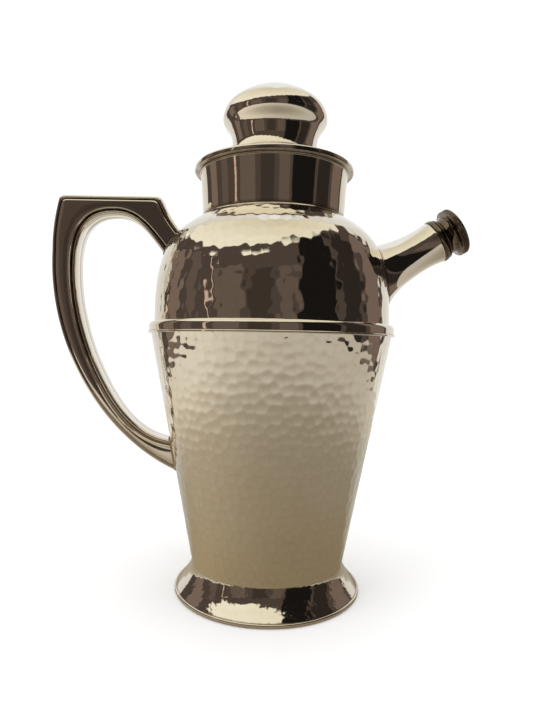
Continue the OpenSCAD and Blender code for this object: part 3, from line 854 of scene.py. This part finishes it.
def thread(name, r_root, r_crest, z0, a0, a1, mat, pitch=3.0):
    """A rounded helical ridge that runs out to nothing at both ends."""
    n_ = int((a1 - a0) / 5)
    vs, fs = [], []
    for i in range(n_ + 1):
        a = math.radians(a0 + (a1 - a0) * i / n_)
        zc = z0 + pitch * (a0 + (a1 - a0) * i / n_) / 360
        e = min(1.0, i / 6, (n_ - i) / 6)
        e = max(0.02, e)
        for dz, w in ((-0.72, 0), (-0.5, 0.45), (-0.25, 0.9), (0, 1.0), (0.25, 0.9), (0.5, 0.45), (0.72, 0)):
            rr = r_root + (r_crest - r_root) * w * e
            vs.append((rr * math.cos(a), rr * math.sin(a), zc + dz * (0.4 + 0.6 * e)))
        bb = r_root - (0.35 if r_crest > r_root else -0.35)
        for dz in (0.6, -0.6):
            vs.append((bb * math.cos(a), bb * math.sin(a), zc + dz * (0.4 + 0.6 * e)))
    w = 9
    for i in range(n_):
        for j in range(w):
            a, b = i * w + j, i * w + (j + 1) % w
            fs.append((a, b, b + w, a + w))
    fs.append(tuple(range(w)))
    fs.append(tuple(n_ * w + j for j in reversed(range(w))))
    return make(name, vs, fs, mat, 45, {"tarnish_and_shade": [0.25] * len(vs)}, SPM)


place(cap, "cap", "tarnished_metal", "spout_cap")
place(thread("spout_cap_thread", 7.95, 8.72, -6.6, 0, 600, M_TARNISH), "cap", "tarnished_metal")
tr = lathe("spout_thread_sleeve", rounded([(9.0, -9), (9.88, -9), (9.88, -0.02), (9.0, -0.02)], {0: 0.2, 3: 0.2}), M_SATIN, 160, matrix=SPM, tarnish_and_shade=[0.3] * 10 + [0.3] * 2)
place(tr, "pitcher", "silver_satin", "spout_thread_ring")
place(thread("spout_thread_ridge", 9.02, 8.46, -5.1, -330, 480, M_SATIN), "pitcher", "silver_satin")

# ------------------------------------------------------------------ CAD pieces that stay
for node, mat, slot in (("body_floor", M_SATIN, "silver_satin"), ("spout_strainer", M_SATIN, "silver_satin"), ("cap_gasket", M_CORK, "cork"),
                        ("knob_stud", M_BRASS, "brass_fixing"), ("knob_washer", M_BRASS, "brass_fixing"), ("knob_nut", M_BRASS, "brass_fixing")):
    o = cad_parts[node]
    o.data.materials.clear()
    o.data.materials.append(mat)

# ------------------------------------------------------------------ studio
def emitter(name, strength=1.0):
    m = bpy.data.materials.new(name)
    m.use_nodes = True
    t = m.node_tree
    t.nodes.clear()
    out = t.nodes.new("ShaderNodeOutputMaterial")
    em = t.nodes.new("ShaderNodeEmission")
    at_ = t.nodes.new("ShaderNodeAttribute")
    at_.attribute_name = "tint"
    em.inputs["Strength"].default_value = strength
    t.links.new(at_.outputs["Color"], em.inputs["Color"])
    t.links.new(em.outputs[0], out.inputs[0])
    m.cycles.emission_sampling = "NONE"
    return m


M_CARD = emitter("reflector")


def reflector(name, verts, faces, colours):
    mesh = bpy.data.meshes.new(name)
    mesh.from_pydata([tuple(v) for v in verts], [], faces)
    at_ = mesh.color_attributes.new("tint", "FLOAT_COLOR", "POINT")
    at_.data.foreach_set("color", np.array([(*c, 1.0) for c in colours], np.float32).ravel())
    mesh.materials.append(M_CARD)
    mesh.shade_smooth()
    o = bpy.data.objects.new(name, mesh)
    scene.collection.objects.link(o)
    o.visible_camera = o.visible_diffuse = o.visible_shadow = o.visible_transmission = o.visible_volume_scatter = False
    return o


def on_dome(az, el, rad):
    a, e = math.radians(az), math.radians(el)
    return (rad * math.cos(e) * math.sin(a), -rad * math.cos(e) * math.cos(a), 0.15 + rad * math.sin(e))


def warm(level):
    # a plain warm grey
    return (level, level * 0.86, level * 0.77)


def dome_colour(az, el):
    # pale behind the pitcher, a soft light bank overhead that leans to the left, and a dim surround in front
    if abs(az) > 127:
        far = min(1, (abs(az) - 127) / 40)
        return srgb([c * (1 - far) + 240 * far for c in (216, 210, 198)])
    if el > 44 + 10 * math.sin(math.radians(az)):
        f = min(1, (el - 30) / 55)
        return srgb([c * (1 - f) + d * f for c, d in zip((250, 243, 222), (216, 206, 180))])
    return srgb(warm(76))


verts, cols, faces = [], [], []
na_, ne_ = 240, 90
for j in range(ne_ + 1):
    for i in range(na_ + 1):
        az, el = -180 + 360 * i / na_, -90 + 180 * j / ne_
        verts.append(on_dome(az, el, 2.8))
        cols.append(dome_colour(az, el))
for j in range(ne_):
    for i in range(na_):
        a = j * (na_ + 1) + i
        faces.append((a, a + 1, a + na_ + 2, a + na_ + 1))
reflector("studio_dome", verts, faces, cols)

# nine tall plain grey cards round the set: azimuth, half width, top elevation, grey level. Azimuth 0 is towards the camera and 90 is +X.
CARDS = [(-105, 8, 30, 120), (-80, 6, 30, 95), (-60, 1.5, 30, 205), (-40, 12, 25, 100), (-10, 10, 25, 60), (15, 8, 25, 95), (45, 18, 50, 25), (80, 12, 50, 45), (110, 12, 40, 115)]
verts, cols, faces = [], [], []
for q, (a_mid, a_half, e1, level) in enumerate(CARDS):
    start = len(verts)
    for j in range(25):
        for i in range(9):
            u, v = i / 8, j / 24
            verts.append(on_dome(a_mid + a_half * (2 * u - 1), -16 + (e1 + 16) * v, 2.7 - 0.006 * q))
            cols.append(srgb(warm(level)))
    for j in range(24):
        for i in range(8):
            a = start + j * 9 + i
            faces.append((a, a + 1, a + 10, a + 9))
reflector("studio_cards", verts, faces, cols)

# the pale sheet the pitcher stands on, as the silver sees it, glowing: a painted shadow makes it warmer and dimmer
# close in, and painted light makes it brighter to the sides and back
verts, cols, faces = [], [], []
rings, segs = [0.03, 0.05, 0.065, 0.08, 0.10, 0.125, 0.155, 0.19, 0.23, 0.28, 0.33, 0.39, 0.45, 0.51, 0.57, 0.62], 120
for rr in rings:
    for i in range(segs + 1):
        az = -180 + 360 * i / segs
        a = math.radians(az)
        verts.append((rr * math.sin(a), -rr * math.cos(a), 0.0006))
        # painted shadow: darkest and warmest close round the pitcher, lightening outwards
        near_c, mid_c, far_c = np.array((0.25, 0.20, 0.13)), np.array((0.28, 0.235, 0.17)), np.array((0.50, 0.45, 0.37))
        t = min(1, max(0, (rr - 0.05) / 0.13))
        c = near_c * (1 - t) + mid_c * t
        t = min(1, max(0, (rr - 0.18) / 0.26))
        t = t * t * (3 - 2 * t)
        c = c * (1 - t) + far_c * t
        # painted light: brighter towards the left and behind the pitcher
        left = math.exp(-((az + 80) / 60) ** 2)
        back = min(1, max(0, (abs(az) - 105) / 30))
        c = c * (1 + 0.5 * left)
        c = c * (1 - back) + np.maximum(c * 1.2, np.array((0.50, 0.475, 0.41))) * back
        cols.append(c)
for j in range(len(rings) - 1):
    for i in range(segs):
        a = j * (segs + 1) + i
        faces.append((a, a + 1, a + segs + 2, a + segs + 1))
reflector("studio_sheet_painted_light_and_shade", verts, faces, cols)


# floor and lights
mesh = bpy.data.meshes.new("studio_floor")
S = 12.0
mesh.from_pydata([(-S, -S, -0.00005), (S, -S, -0.00005), (S, S, -0.00005), (-S, S, -0.00005)], [], [(0, 1, 2, 3)])
floor = bpy.data.objects.new("studio_floor", mesh)
scene.collection.objects.link(floor)
n = Nodes("floor_pale")
n.b.inputs["Base Color"].default_value = (0.96, 0.96, 0.96, 1)
n.b.inputs["Roughness"].default_value = 0.9
n.b.inputs["Specular IOR Level"].default_value = 0.1
mesh.materials.append(n.mat)
floor.visible_glossy = False

world = bpy.data.worlds.new("studio")
scene.world = world
world.use_nodes = True
bg = world.node_tree.nodes["Background"]
bg.inputs[0].default_value = (1.0, 1.0, 1.0, 1)
bg.inputs[1].default_value = 1.10


def area(name, loc, aim, size, watts):
    d = bpy.data.lights.new(name, "AREA")
    d.shape = "DISK"
    d.size = size
    d.energy = watts
    o = bpy.data.objects.new(name, d)
    scene.collection.objects.link(o)
    o.location = loc
    o.rotation_euler = (Vector(aim) - Vector(loc)).to_track_quat("-Z", "Y").to_euler()
    o.visible_glossy = False
    return o


area("key_light", (-1.1, -0.9, 1.9), (0, 0, 0.1), 1.2, 9)
area("fill_light", (1.4, -0.6, 1.5), (0, 0, 0.1), 1.4, 5)
